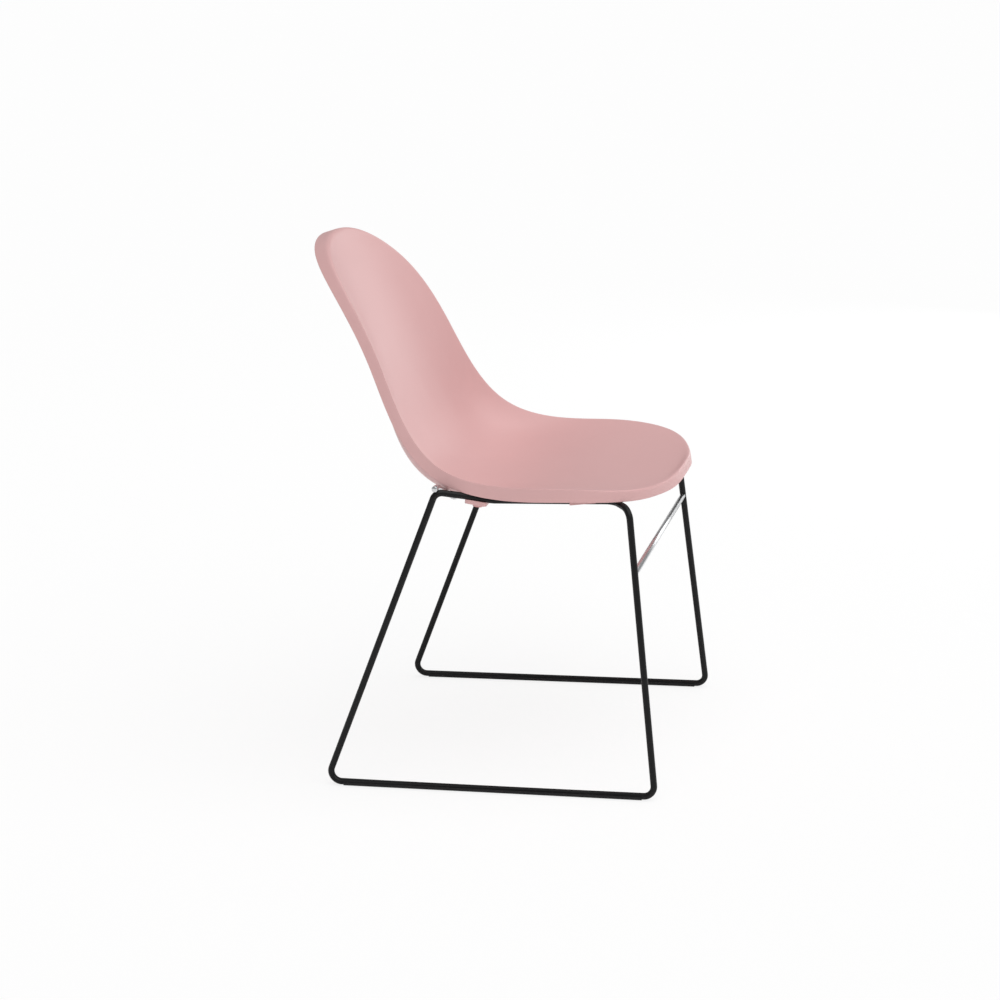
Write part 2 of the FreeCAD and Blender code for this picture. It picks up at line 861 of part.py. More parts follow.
def make_glide():
    """Strip under the left runner."""
    front = size("runner_front") + size("glide_front_gap")
    rear = size("runner_rear") - size("glide_rear_gap")
    sleeve = add(
        "Part::Cylinder",
        "glide_sleeve",
        Radius="Sizes.rod_diameter / 2 + Sizes.glide_wall",
        Height="Sizes.runner_rear - Sizes.glide_rear_gap"
        " - Sizes.runner_front - Sizes.glide_front_gap",
    )
    along = FreeCAD.Rotation(Vector(1, 0, 0), -90)
    sleeve.Placement = FreeCAD.Placement(
        Vector(size("runner_half"), front, FLOOR_LEVEL), along
    )
    limits = add(
        "Part::Box",
        "glide_limits",
        Length="Sizes.rod_diameter + 4 * Sizes.glide_wall",
        Height="Sizes.glide_under + Sizes.rod_diameter / 2 + Sizes.glide_wrap",
    )
    limits.Width = rear - front
    half_width = ROD_RADIUS + 2 * size("glide_wall")
    limits.Placement.Base = Vector(size("runner_half") - half_width, front, 0)
    outside = add("Part::MultiCommon", "glide_outside")
    outside.Shapes = [sleeve, limits]
    return cut("left_glide_strip", outside, left_loop)


left_glide = make_glide()
right_glide = mirrored("right_glide_strip", left_glide)


# Check and export

doc.recompute()
KEPT = [
    seat_shell,
    left_loop,
    right_loop,
    front_stretcher,
    rear_crossbar,
    left_clamp,
    right_clamp,
    left_screw,
    right_screw,
    left_glide,
    right_glide,
]

for piece in doc.Objects:
    if "Invalid" in piece.State or "Error" in piece.State:
        raise RuntimeError("%s did not recompute: %s" % (piece.Label, piece.State))
for piece in KEPT:
    shape = piece.Shape
    if shape.isNull() or not shape.isValid() or len(shape.Solids) != 1:
        raise RuntimeError("%s is not one valid solid" % piece.Label)
for piece in KEPT:
    piece.Shape.exportStep("parts/" + piece.Label + ".step")
    print("%-20s %9.1f mm3" % (piece.Label, piece.Shape.Volume))
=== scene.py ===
# %% [markdown]
# # A moulded plastic shell chair on a rod sled base
#
# The chair is one injection moulding, seat and back together, on a welded base of bent
# steel rod. Each side of the base is a closed loop: a runner on the floor, two legs and
# a rail under the seat. A bright bar joins the front legs and another crosses behind.
#
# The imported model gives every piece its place. Here the shell and the bars are drawn
# again with smooth surfaces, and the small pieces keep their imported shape.

import math

import bmesh
import bpy
from mathutils import Matrix, Vector
from mathutils.bvhtree import BVHTree


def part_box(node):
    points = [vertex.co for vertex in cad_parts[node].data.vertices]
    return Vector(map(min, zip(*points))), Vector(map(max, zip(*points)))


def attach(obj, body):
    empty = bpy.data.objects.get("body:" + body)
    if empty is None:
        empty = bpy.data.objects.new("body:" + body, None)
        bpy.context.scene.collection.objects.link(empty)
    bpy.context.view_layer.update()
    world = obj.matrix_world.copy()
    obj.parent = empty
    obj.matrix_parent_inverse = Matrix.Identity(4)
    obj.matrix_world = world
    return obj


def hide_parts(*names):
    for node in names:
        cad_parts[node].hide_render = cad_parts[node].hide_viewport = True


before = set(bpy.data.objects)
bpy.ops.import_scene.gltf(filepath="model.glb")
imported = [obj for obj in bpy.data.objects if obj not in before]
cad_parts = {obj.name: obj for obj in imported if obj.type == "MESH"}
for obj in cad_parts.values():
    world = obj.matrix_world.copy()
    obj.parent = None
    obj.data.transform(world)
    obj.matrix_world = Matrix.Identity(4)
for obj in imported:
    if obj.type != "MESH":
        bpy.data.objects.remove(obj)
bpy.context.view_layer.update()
MM = 0.001
print("nodes:", len(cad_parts))


# %% [markdown]
# ## The camera
#
# The camera stands where the photographer stood: at the chair's right side, a little in
# front of it and about three and a half metres away, with a long lens, so that the far
# loop is only slightly smaller than the near one. Its place and its three directions
# were solved from the legs and the runners, so they are written as a matrix instead of
# being aimed by hand.

# %% Camera
CAMERA_PLACE = Vector((-3.29329, -0.86316, 1.35339))
CAMERA_RIGHT = Vector((0.243834, -0.968357, -0.053203))
CAMERA_UP = Vector((0.276061, 0.016714, 0.960995))
CAMERA_LENS_MM = 81.14
SENSOR_WIDTH_MM = 36.0

camera_data = bpy.data.cameras.new("studio_camera")
camera_data.lens = CAMERA_LENS_MM
camera_data.sensor_width = SENSOR_WIDTH_MM
camera = bpy.data.objects.new("studio_camera", camera_data)
bpy.context.scene.collection.objects.link(camera)
camera_back = CAMERA_RIGHT.cross(CAMERA_UP)
camera.matrix_world = Matrix.Translation(CAMERA_PLACE) @ Matrix(
    (CAMERA_RIGHT, CAMERA_UP, camera_back)
).transposed().to_4x4()
bpy.context.scene.camera = camera
print("camera stands", round(CAMERA_PLACE.length, 2), "m from the origin on the floor")


# %% [markdown]
# ## Building materials
#
# Colours are easiest to judge as the hex values of a picture, but the shaders work with
# linear light, so one function turns a hex value into a linear colour. A second one adds
# any node with its settings and links, and every material below is built with it.

# %% Material helpers
def linear(hex_colour):
    """A hex colour as linear red, green, blue and an alpha of one."""
    channels = []
    for start in (1, 3, 5):
        value = int(hex_colour[start:start + 2], 16) / 255
        if value <= 0.04045:
            channels.append(value / 12.92)
        else:
            channels.append(((value + 0.055) / 1.055) ** 2.4)
    return (*channels, 1.0)


def add_node(tree, kind, settings=None, inputs=None):
    """A node with its settings; an input is a value or another node's output."""
    node = tree.nodes.new(kind)
    for name, value in (settings or {}).items():
        setattr(node, name, value)
    for name, value in (inputs or {}).items():
        if isinstance(value, bpy.types.NodeSocket):
            tree.links.new(value, node.inputs[name])
        else:
            node.inputs[name].default_value = value
    return node


def new_material(name):
    """An empty node material and its node tree."""
    material = bpy.data.materials.new(name)
    material.use_nodes = True
    material.node_tree.nodes.clear()
    return material, material.node_tree


# A mix node has sockets for numbers, vectors and colours; these are the ones for colours
MIX_SHARE, MIX_FIRST, MIX_SECOND = 0, 6, 7
MIX_COLOUR = 2
print("middle grey is", round(linear("#808080")[0], 3), "in linear light")


# %% [markdown]
# ## Polypropylene, moulded with a fine matt grain
#
# The shell and the two clamps are polypropylene, coloured right through. The mould's
# surface was spark eroded, which leaves grains of about half a millimetre: they break up
# reflections, so that light slides over the shell as a broad soft sheen. From here they
# are finer than the picture's dots. They are drawn nearly twice as coarse, and even so
# they only soften the sheen, as they do to the eye. Behind the grain the colour wanders
# very slightly, as the melt does while it fills the mould.

# %% Shell plastic
FLOW_MM = 90
GRAIN_MM = 0.9
GRAIN_DEPTH_MM = 0.05


def make_polypropylene():
    """Matt dusty pink polypropylene."""
    material, tree = new_material("pink_polypropylene")
    place = add_node(tree, "ShaderNodeTexCoord").outputs["Object"]
    flow = add_node(tree, "ShaderNodeTexNoise", inputs={
        "Vector": place, "Scale": 1 / (FLOW_MM * MM), "Detail": 3,
    })
    pits = add_node(tree, "ShaderNodeTexNoise", inputs={
        "Vector": place, "Scale": 1 / (GRAIN_MM * MM), "Detail": 3,
    })
    share = add_node(tree, "ShaderNodeMapRange", inputs={
        "Value": flow.outputs["Fac"], "To Min": 0.2, "To Max": 0.8,
    })
    colour = add_node(tree, "ShaderNodeMix", {"data_type": "RGBA"}, {
        MIX_SHARE: share.outputs["Result"],
        MIX_FIRST: linear("#d7a9a8"), MIX_SECOND: linear("#dcb0af"),
    })
    roughness = add_node(tree, "ShaderNodeMapRange", inputs={
        "Value": pits.outputs["Fac"], "To Min": 0.38, "To Max": 0.48,
    })
    dents = add_node(tree, "ShaderNodeBump", inputs={
        "Height": pits.outputs["Fac"], "Distance": GRAIN_DEPTH_MM * MM, "Strength": 0.5,
    })
    shader = add_node(tree, "ShaderNodeBsdfPrincipled", inputs={
        "Base Color": colour.outputs[MIX_COLOUR], "IOR": 1.49,
        "Roughness": roughness.outputs["Result"], "Normal": dents.outputs["Normal"],
    })
    add_node(tree, "ShaderNodeOutputMaterial", inputs={"Surface": shader.outputs["BSDF"]})
    return material


POLYPROPYLENE = make_polypropylene()
print("made", POLYPROPYLENE.name)


# %% [markdown]
# ## Powder coat on the loops
#
# The loops are sprayed with dry powder that melts in an oven and levels out. It stays a
# little wavy, like the skin of an orange with waves of one to two millimetres, so a rod
# shows a long highlight with soft, slightly ragged edges. The real rods are very dark,
# so their specular level is set below the usual half and the highlight is faint.

# %% Powder coat
ORANGE_PEEL_MM = 1.6
ORANGE_PEEL_DEPTH_MM = 0.04
COAT_PATCH_MM = 60


def make_powder_coat():
    """Satin black powder coat on steel."""
    material, tree = new_material("black_powder_coat")
    place = add_node(tree, "ShaderNodeTexCoord").outputs["Object"]
    waves = add_node(tree, "ShaderNodeTexNoise", inputs={
        "Vector": place, "Scale": 1 / (ORANGE_PEEL_MM * MM), "Detail": 1,
    })
    patches = add_node(tree, "ShaderNodeTexNoise", inputs={
        "Vector": place, "Scale": 1 / (COAT_PATCH_MM * MM), "Detail": 2,
    })
    colour = add_node(tree, "ShaderNodeMix", {"data_type": "RGBA"}, {
        MIX_SHARE: patches.outputs["Fac"],
        MIX_FIRST: linear("#0d0d0e"), MIX_SECOND: linear("#141415"),
    })
    roughness = add_node(tree, "ShaderNodeMapRange", inputs={
        "Value": patches.outputs["Fac"], "To Min": 0.34, "To Max": 0.42,
    })
    dents = add_node(tree, "ShaderNodeBump", inputs={
        "Height": waves.outputs["Fac"], "Distance": ORANGE_PEEL_DEPTH_MM * MM, "Strength": 0.5,
    })
    shader = add_node(tree, "ShaderNodeBsdfPrincipled", inputs={
        "Base Color": colour.outputs[MIX_COLOUR], "IOR": 1.5, "Specular IOR Level": 0.22,
        "Roughness": roughness.outputs["Result"], "Normal": dents.outputs["Normal"],
    })
    add_node(tree, "ShaderNodeOutputMaterial", inputs={"Surface": shader.outputs["BSDF"]})
    return material


POWDER_COAT = make_powder_coat()
print("made", POWDER_COAT.name)


# %% [markdown]
# ## Bright bars and zinc screws
#
# The two cross bars are plated over drawn steel, so they mirror the room with a faint
# blur. The drawing lines are far too fine to show here, so a wander of the polish over a
# few millimetres stands in for them. The screws are barrel plated with zinc, which is
# greyer and duller. Both are metals: their colour is the colour of the reflection.

# %% Plated steel and zinc
PLATING_DEPTH_MM = 0.01


def make_plated_metal(name, colours, roughnesses, wander_mm):
    """Plated steel whose polish wanders between two colours and two roughnesses."""
    material, tree = new_material(name)
    place = add_node(tree, "ShaderNodeTexCoord").outputs["Object"]
    wander = add_node(tree, "ShaderNodeTexNoise", inputs={
        "Vector": place, "Scale": 1 / (wander_mm * MM), "Detail": 2,
    })
    colour = add_node(tree, "ShaderNodeMix", {"data_type": "RGBA"}, {
        MIX_SHARE: wander.outputs["Fac"],
        MIX_FIRST: linear(colours[0]), MIX_SECOND: linear(colours[1]),
    })
    roughness = add_node(tree, "ShaderNodeMapRange", inputs={
        "Value": wander.outputs["Fac"], "To Min": roughnesses[0], "To Max": roughnesses[1],
    })
    dents = add_node(tree, "ShaderNodeBump", inputs={
        "Height": wander.outputs["Fac"], "Distance": PLATING_DEPTH_MM * MM, "Strength": 0.3,
    })
    shader = add_node(tree, "ShaderNodeBsdfPrincipled", inputs={
        "Base Color": colour.outputs[MIX_COLOUR], "Metallic": 1.0,
        "Roughness": roughness.outputs["Result"], "Normal": dents.outputs["Normal"],
    })
    add_node(tree, "ShaderNodeOutputMaterial", inputs={"Surface": shader.outputs["BSDF"]})
    return material


BRIGHT_STEEL = make_plated_metal(
    "bright_plated_steel", ("#c9cbcd", "#dcdddf"), (0.16, 0.26), wander_mm=3
)
ZINC = make_plated_metal("zinc_plate", ("#a9adb0", "#c4c7c9"), (0.32, 0.45), wander_mm=1.5)
print("made", BRIGHT_STEEL.name, "and", ZINC.name)


# %% [markdown]
# ## Glide plastic
#
# The strips under the runners are a tough black plastic, drawn smooth and soon
# scuffed, so their roughness changes in patches of a few millimetres.

# %% Glide plastic
SCUFF_MM = 4
SCUFF_DEPTH_MM = 0.03


def make_glide_plastic():
    """Black nylon, lightly scuffed."""
    material, tree = new_material("black_nylon")
    place = add_node(tree, "ShaderNodeTexCoord").outputs["Object"]
    scuffs = add_node(tree, "ShaderNodeTexNoise", inputs={
        "Vector": place, "Scale": 1 / (SCUFF_MM * MM), "Detail": 4, "Roughness": 0.65,
    })
    colour = add_node(tree, "ShaderNodeMix", {"data_type": "RGBA"}, {
        MIX_SHARE: scuffs.outputs["Fac"],
        MIX_FIRST: linear("#0d0d0e"), MIX_SECOND: linear("#161617"),
    })
    roughness = add_node(tree, "ShaderNodeMapRange", inputs={
        "Value": scuffs.outputs["Fac"], "To Min": 0.42, "To Max": 0.62,
    })
    dents = add_node(tree, "ShaderNodeBump", inputs={
        "Height": scuffs.outputs["Fac"], "Distance": SCUFF_DEPTH_MM * MM, "Strength": 0.4,
    })
    shader = add_node(tree, "ShaderNodeBsdfPrincipled", inputs={
        "Base Color": colour.outputs[MIX_COLOUR], "IOR": 1.53, "Specular IOR Level": 0.25,
        "Roughness": roughness.outputs["Result"], "Normal": dents.outputs["Normal"],
    })
    add_node(tree, "ShaderNodeOutputMaterial", inputs={"Surface": shader.outputs["BSDF"]})
    return material


NYLON = make_glide_plastic()
print("made", NYLON.name)


# %% [markdown]
# ## The outline of the shell
#
# The shell has no straight line in it, so it is described by its rim. Eleven stations
# run from the middle of the front edge round one side to the middle of the top, and a
# smooth curve passes near them. Each station also says how deep the shell is dished
# below the rim there, and how its edge is turned down into a flange.
#
# A sculpted mesh could look as good, but stations keep both sides equal and let one
# number change one thing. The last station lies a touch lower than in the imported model,
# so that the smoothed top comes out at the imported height.

# %% Stations of the rim
SEAT_HEIGHT = 470.0
WALL = 4.5
FLANGE_WALL = 4.0
# half width, distance behind the middle, height above the seat, dish, flatness of the
# dish, flange depth, lean of the flange and width of the rolled rim
STATIONS = (
    (0, -280, -5, 0, 2.2, 19, -0.15, 12),
    (96, -274, -16, 2, 2.2, 19, -0.10, 11),
    (193, -235, -7, 12, 2.5, 17, 0.05, 5),
    (215, -134, 4, 20, 3.0, 21, 0.15, 2.5),
    (210, -41, 0, 30, 4.0, 21.5, 0.15, 2.5),
    (212, 62, 21, 62, 7.0, 19, 0.12, 2.5),
    (199, 115, 107, 46, 3.6, 17, 0.10, 2.5),
    (181, 145, 196, 38, 2.5, 17, 0.10, 2.5),
    (163, 192, 282, 26, 2.2, 18, 0.15, 4),
    (99, 245, 344, 6, 2.2, 24, 0.30, 12),
    (0, 257, 360.3, 0, 2.2, 29.6, 0.45, 15),
)
HALF, BEHIND, ABOVE, DISH, FLAT, FLANGE, LEAN, ROLL = range(8)
LAST = len(STATIONS) - 1
# Steps and limits of the angle from the middle of the front edge, in radians
SLOPE_STEP = 0.02
SLOPE_END = 0.25
JUST_INSIDE = 0.999999


def along_rim(column, angle):
    """One column of the stations as a smooth curve, mirrored past both ends."""
    place = min(max(angle, 0.0), math.pi) / math.pi * LAST
    first = min(int(place), LAST - 1)
    part = place - first
    weights = (
        (1 - part) ** 3 / 6,
        (3 * part ** 3 - 6 * part ** 2 + 4) / 6,
        (-3 * part ** 3 + 3 * part ** 2 + 3 * part + 1) / 6,
        part ** 3 / 6,
    )
    total = 0.0
    for offset, weight in enumerate(weights):
        index = first - 1 + offset
        mirrored = index < 0 or index > LAST
        if index > LAST:
            index = 2 * LAST - index
        value = STATIONS[abs(index)][column]
        total += weight * (-value if column == HALF and mirrored else value)
    return total


def rim(angle):
    """Point of the rim on the left side, in millimetres."""
    return Vector((
        along_rim(HALF, angle),
        along_rim(BEHIND, angle),
        SEAT_HEIGHT + along_rim(ABOVE, angle),
    ))


def below_rim(angle):
    """Direction square to the rim in side view: down under the seat, back behind."""
    middle = min(max(angle, SLOPE_END), math.pi - SLOPE_END)
    run = rim(middle + SLOPE_STEP) - rim(middle - SLOPE_STEP)
    return Vector((0, run.z, -run.y)).normalized()


def skin_point(across, upward):
    """Point of the sitter's side; both numbers are shares of the way to the rim."""
    upward = min(max(upward, -JUST_INSIDE), JUST_INSIDE)
    angle = math.acos(-upward)
    reach = math.sin(angle)
    out = min(abs(across) / reach, 1.0)
    depth = along_rim(DISH, angle) * (1 - out ** along_rim(FLAT, angle))
    point = rim(angle) + below_rim(angle) * depth
    point.x = across / reach * rim(angle).x
    return point


widest = max(rim(math.pi * place / LAST).x for place in range(LAST + 1))
print("rim is about", round(2 * widest), "mm wide")


# %% [markdown]
# ## A cage for the shell
#
# A subdivision surface turns a coarse cage into a smooth skin, and its points follow
# even, flowing rows. The rows run round the shell like the rings of a tree, so that the
# outer ones follow the rim and the flange. Rings that shrink to a single point would
# pinch there, so the middle is a square grid with the same number of points on its edge.

# %% Rings from the rim inwards
AROUND = 64
GRID = AROUND // 4
RING_SHARES = (0.56, 0.78)
# How far the outer skin rings lie inside the roll, and the support ring inside the edge
EDGE_STEPS = (44, 28, 15)
EDGE_SUPPORT = 0.9
# Where the search for a share begins, how often it halves, and a share close to the rim
SEARCH_FROM = 0.2
HALVINGS = 24
NEAR_RIM = 0.96


def square_to(vector, axis):
    """The unit vector nearest to a vector that is square to an axis."""
    return (vector - axis * vector.dot(axis)).normalized()


def share_at(turn, crest, distance):
    """Share of the way out where the skin is a real distance from its crest."""
    low, high = SEARCH_FROM, 1.0
    for _ in range(HALVINGS):
        middle = (low + high) / 2
        point = skin_point(middle * math.sin(turn), -middle * math.cos(turn))
        if (point - crest).length > distance:
            low = middle
        else:
            high = middle
    return low


def crest_point(turn):
    """Point of the rim at a turn from the middle of the front edge, either side."""
    angle = turn if turn <= math.pi else 2 * math.pi - turn
    point = rim(angle)
    if turn > math.pi:
        point.x = -point.x
    return point


def rim_section(turn, step):
    """The rim's crest with its directions out and down, and its outermost shares."""
    angle = turn if turn <= math.pi else 2 * math.pi - turn
    crest = crest_point(turn)
    following = crest_point((turn + step) % (2 * math.pi))
    along = (following - crest_point((turn - step) % (2 * math.pi))).normalized()
    inner = skin_point(NEAR_RIM * math.sin(turn), -NEAR_RIM * math.cos(turn))
    out = square_to(crest - inner, along)
    down = square_to(below_rim(angle) + out * along_rim(LEAN, angle), along)
    roll = along_rim(ROLL, angle)
    shares = [share_at(turn, crest, roll + distance) for distance in EDGE_STEPS]
    return {
        "crest": crest, "out": out, "down": down, "up": out.cross(along),
        "roll": roll, "drop": along_rim(FLANGE, angle), "shares": shares,
    }


TURNS = [2 * math.pi * index / AROUND for index in range(AROUND)]
SECTIONS = [rim_section(turn, TURNS[1]) for turn in TURNS]
print(len(SECTIONS), "sections round the rim")


# %% [markdown]
# The two sides of the moulding are built from the same rings. The underside lies one
# wall thickness below the skin, and where the skin turns down into the flange, the
# inside corner is found where the two offset lines cross. A last pair of rings close to
# the flange's edge keeps that edge crisp while it is still slightly rounded.

# %% Points of the cage
ROUNDING = 1e-6
# The largest share of the flange that the roll may take, and its least inner radius
ROLL_LIMIT = 0.6
LEAST_RADIUS = 1.5


def core_place(u, v):
    """Share and turn of a point of the square grid, laid out as rings of squares."""
    share = max(abs(u), abs(v))
    if share == 0:
        return 0.0, 0.0
    if abs(u) >= abs(v):
        angle = math.pi / 4 * v / u + (math.pi if u < 0 else 0)
    else:
        angle = math.pi / 2 - math.pi / 4 * u / v + (math.pi if v < 0 else 0)
    return share, (angle + math.pi / 2) % (2 * math.pi)


def edge_share(turn):
    """Share of the way out of the innermost edge ring at a turn."""
    place = turn / TURNS[1]
    first = int(place + ROUNDING) % AROUND
    part = max(place - int(place + ROUNDING), 0.0)
    near = SECTIONS[first]["shares"][0]
    far = SECTIONS[(first + 1) % AROUND]["shares"][0]
    return near + (far - near) * part


def skin_at(share, turn):
    """Point of the skin at a share of the way out, in the direction of a turn."""
    return skin_point(share * math.sin(turn), -share * math.cos(turn))


def core_grid():
    """The square grid in the middle of the skin."""
    grid = {}
    for i in range(GRID + 1):
        for j in range(GRID + 1):
            share, turn = core_place(2 * i / GRID - 1, 2 * j / GRID - 1)
            grid[i, j] = skin_at(share * RING_SHARES[0] * edge_share(turn), turn)
    return grid


def grid_edge():
    """Places round the grid's edge, in step with the turns of the rings."""
    half = GRID // 2
    front_left = [(i, 0) for i in range(half, GRID)]
    left = [(GRID, j) for j in range(GRID)]
    back = [(i, GRID) for i in range(GRID, 0, -1)]
    right = [(0, j) for j in range(GRID, 0, -1)]
    return front_left + left + back + right + [(i, 0) for i in range(half)]


def through(points):
    """Control points whose smooth curve passes close to the given ring of points.

    A cubic curve falls short of a control point by a sixth of the bend there.
    """
    poles = []
    for index, point in enumerate(points):
        bend = points[index - 1] - point * 2 + points[(index + 1) % len(points)]
        poles.append(point - bend / 6)
    return poles


def skin_rings():
    """Rings from outside the grid to where the rim begins to roll over."""
    rings = []
    for inner_share in RING_SHARES[1:]:
        rings.append([
            skin_at(inner_share * section["shares"][0], turn)
            for section, turn in zip(SECTIONS, TURNS)
        ])
    for step in range(len(EDGE_STEPS)):
        rings.append([
            skin_at(section["shares"][step], turn) for section, turn in zip(SECTIONS, TURNS)
        ])
    return [through(ring) for ring in rings]


def flange_outside(section):
    """The rolled rim and the flange of one section, on the outside."""
    crest, down = section["crest"], section["down"]
    return (
        crest - section["out"] * section["roll"],
        crest,
        crest + down * min(section["roll"], ROLL_LIMIT * section["drop"]),
        crest + down * (section["drop"] - EDGE_SUPPORT),
        crest + down * section["drop"],
    )


def flange_inside(section):
    """The same on the inside, from under the rim down to the flange's edge."""
    crest, down, out, up = (section[name] for name in ("crest", "down", "out", "up"))
    inward = square_to(-out, down)
    turn_down = (-WALL - FLANGE_WALL * inward.dot(up)) / down.dot(up)
    corner = crest + inward * FLANGE_WALL + down * turn_down
    radius = max(section["roll"] - WALL, LEAST_RADIUS)
    edge = crest + down * section["drop"] + inward * FLANGE_WALL
    return (
        corner - out * radius,
        corner,
        corner + down * radius,
        edge - down * EDGE_SUPPORT,
        edge,
    )


core = core_grid()
rings = skin_rings()
outside = [through(ring) for ring in zip(*map(flange_outside, SECTIONS))]
inside = [through(ring) for ring in zip(*map(flange_inside, SECTIONS))]
print(len(core), "grid points,", len(rings), "skin rings,", len(outside), "rim rings")


# %% [markdown]
# The points become a mesh in two steps. First only the sitter's side is made, because
# the mesh then gives the direction square to the skin at each point. The underside
# copies it one wall lower, and the two are closed along the flange's edge.

# %% Mesh of the shell
SMOOTH_LEVELS = 3


def add_side(mesh, core_points, ring_points, flip):
    """Vertices and faces of one side; returns the grid's and the rings' vertices."""
    grid = {place: mesh.verts.new(point * MM) for place, point in core_points.items()}
    bands = [[grid[place] for place in grid_edge()]]
    bands += [[mesh.verts.new(point * MM) for point in ring] for ring in ring_points]
    quads = []
    for i in range(GRID):
        for j in range(GRID):
            quads.append((grid[i, j], grid[i + 1, j], grid[i + 1, j + 1], grid[i, j + 1]))
    for band, following in zip(bands, bands[1:]):
        for index in range(AROUND):
            near, far = (index + 1) % AROUND, index
            quads.append((band[far], following[far], following[near], band[near]))
    for quad in quads:
        mesh.faces.new(quad[::-1] if flip else quad)
    return grid, bands[1:]


def finish_mesh(name, mesh, material):
    """An object from a bmesh, shaded smooth."""
    bmesh.ops.recalc_face_normals(mesh, faces=mesh.faces)
    data = bpy.data.meshes.new(name)
    mesh.to_mesh(data)
    mesh.free()
    for polygon in data.polygons:
        polygon.use_smooth = True
    data.materials.append(material)
    piece = bpy.data.objects.new(name, data)
    bpy.context.scene.collection.objects.link(piece)
    return piece


def make_shell():
    """The whole moulding as a closed cage under a subdivision surface."""
    mesh = bmesh.new()
    grid, bands = add_side(mesh, core, rings + outside, flip=False)
    mesh.normal_update()
    sample = grid[GRID // 2, GRID // 2].normal
    wall = WALL if sample.z > 0 else -WALL
    under_core = {
        place: core[place] - vertex.normal * wall for place, vertex in grid.items()
    }
    under_rings = [
        [vertex.co / MM - vertex.normal * wall for vertex in band]
        for band in bands[:len(rings)]
    ]
    under_bands = add_side(mesh, under_core, under_rings + inside, flip=True)[1]
    for index in range(AROUND):
        near = (index + 1) % AROUND
        top, bottom = bands[-1], under_bands[-1]
        mesh.faces.new((top[index], bottom[index], bottom[near], top[near]))
    shell = finish_mesh("moulded_shell", mesh, POLYPROPYLENE)
    smooth = shell.modifiers.new("smooth", "SUBSURF")
    smooth.levels = SMOOTH_LEVELS
    smooth.render_levels = SMOOTH_LEVELS
    return shell


shell = make_shell()
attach(shell, "root")
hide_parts("seat_shell")
print("shell cage has", len(shell.data.polygons), "faces")


# %% [markdown]
# ## The sled loops and the cross bars
#
# A bent bar is a circle carried along a line of straight runs and round bends. A curve
# object with a bevel could do that, but it twists where runs turn in space, so the ring
# of points is carried along by hand, each time turned by no more than the line turns.
# The bends are true arcs with the radii of the bending tool.

# %% Bent bars
BAR_SIDES = 32
ARC_STEPS = 12
BAR_CHAMFER = 0.6


def bent_line(corners, bends):
    """Points along straight runs joined by arcs that touch both runs."""
    points = []
    count = len(corners)
    for index, corner in enumerate(corners):
        if not bends[index]:
            points.append(corner)
            continue
        before = (corners[index - 1] - corner).normalized()
        after = (corners[(index + 1) % count] - corner).normalized()
        half = before.angle(after) / 2
        middle = corner + (before + after).normalized() * (bends[index] / math.sin(half))
        start = corner + before * (bends[index] / math.tan(half)) - middle
        end = corner + after * (bends[index] / math.tan(half)) - middle
        turn = start.angle(end)
        for step in range(ARC_STEPS + 1):
            part = step / ARC_STEPS
            weights = math.sin((1 - part) * turn), math.sin(part * turn)
            points.append(middle + (start * weights[0] + end * weights[1]) / math.sin(turn))
    return points


def bar_rings(line, radius, closed):
    """Rings of points round a line, carried along it without twisting."""
    count = len(line)
    runs = [(line[(i + 1) % count] - line[i]).normalized() for i in range(count)]
    if not closed:
        runs[-1] = runs[-2]
    tangents = [(runs[i - 1] + runs[i]).normalized() for i in range(count)]
    if not closed:
        tangents[0] = runs[0]
    side = tangents[0].orthogonal().normalized()
    rings_out = []
    for index, (point, tangent) in enumerate(zip(line, tangents)):
        side = square_to(side, tangent)
        other = tangent.cross(side)
        ring = []
        for number in range(BAR_SIDES):
            angle = 2 * math.pi * number / BAR_SIDES
            ring.append(point + (side * math.cos(angle) + other * math.sin(angle)) * radius)
        rings_out.append(ring)
    return rings_out


def join_rings(mesh, loops, closed):
    """Quads between rings of vertices, with flat ends on an open bar."""
    pairs = list(zip(loops, loops[1:]))
    if closed:
        shift = min(
            range(BAR_SIDES),
            key=lambda k: (loops[0][k].co - loops[-1][0].co).length,
        )
        pairs.append((loops[-1], loops[0][shift:] + loops[0][:shift]))
    for band, following in pairs:
        for number in range(BAR_SIDES):
            far = (number + 1) % BAR_SIDES
            mesh.faces.new((band[number], band[far], following[far], following[number]))
    if not closed:
        mesh.faces.new(loops[0][::-1])
        mesh.faces.new(loops[-1])


def make_bar(name, corners, bends, radius, material, closed=False):
    """A bent round bar; an open one has a small chamfer at each end."""
    line = bent_line(corners, bends)
    ring_points = bar_rings(line, radius, closed)
    if not closed:
        for end, inner in ((0, 1), (-1, -2)):
            run = (line[end] - line[inner]).normalized()
            share = 1 - BAR_CHAMFER / radius
            small = [line[end] + (point - line[end]) * share for point in ring_points[end]]
            ring_points[end] = [point - run * BAR_CHAMFER for point in ring_points[end]]
            if end == 0:
                ring_points.insert(0, small)
            else:
                ring_points.append(small)
    mesh = bmesh.new()
    loops = [[mesh.verts.new(point * MM) for point in ring] for ring in ring_points]
    join_rings(mesh, loops, closed)
    return finish_mesh(name, mesh, material)


ROD_RADIUS = 5.0
GLIDE_UNDER = 1.0
FLOOR_LEVEL = GLIDE_UNDER + ROD_RADIUS
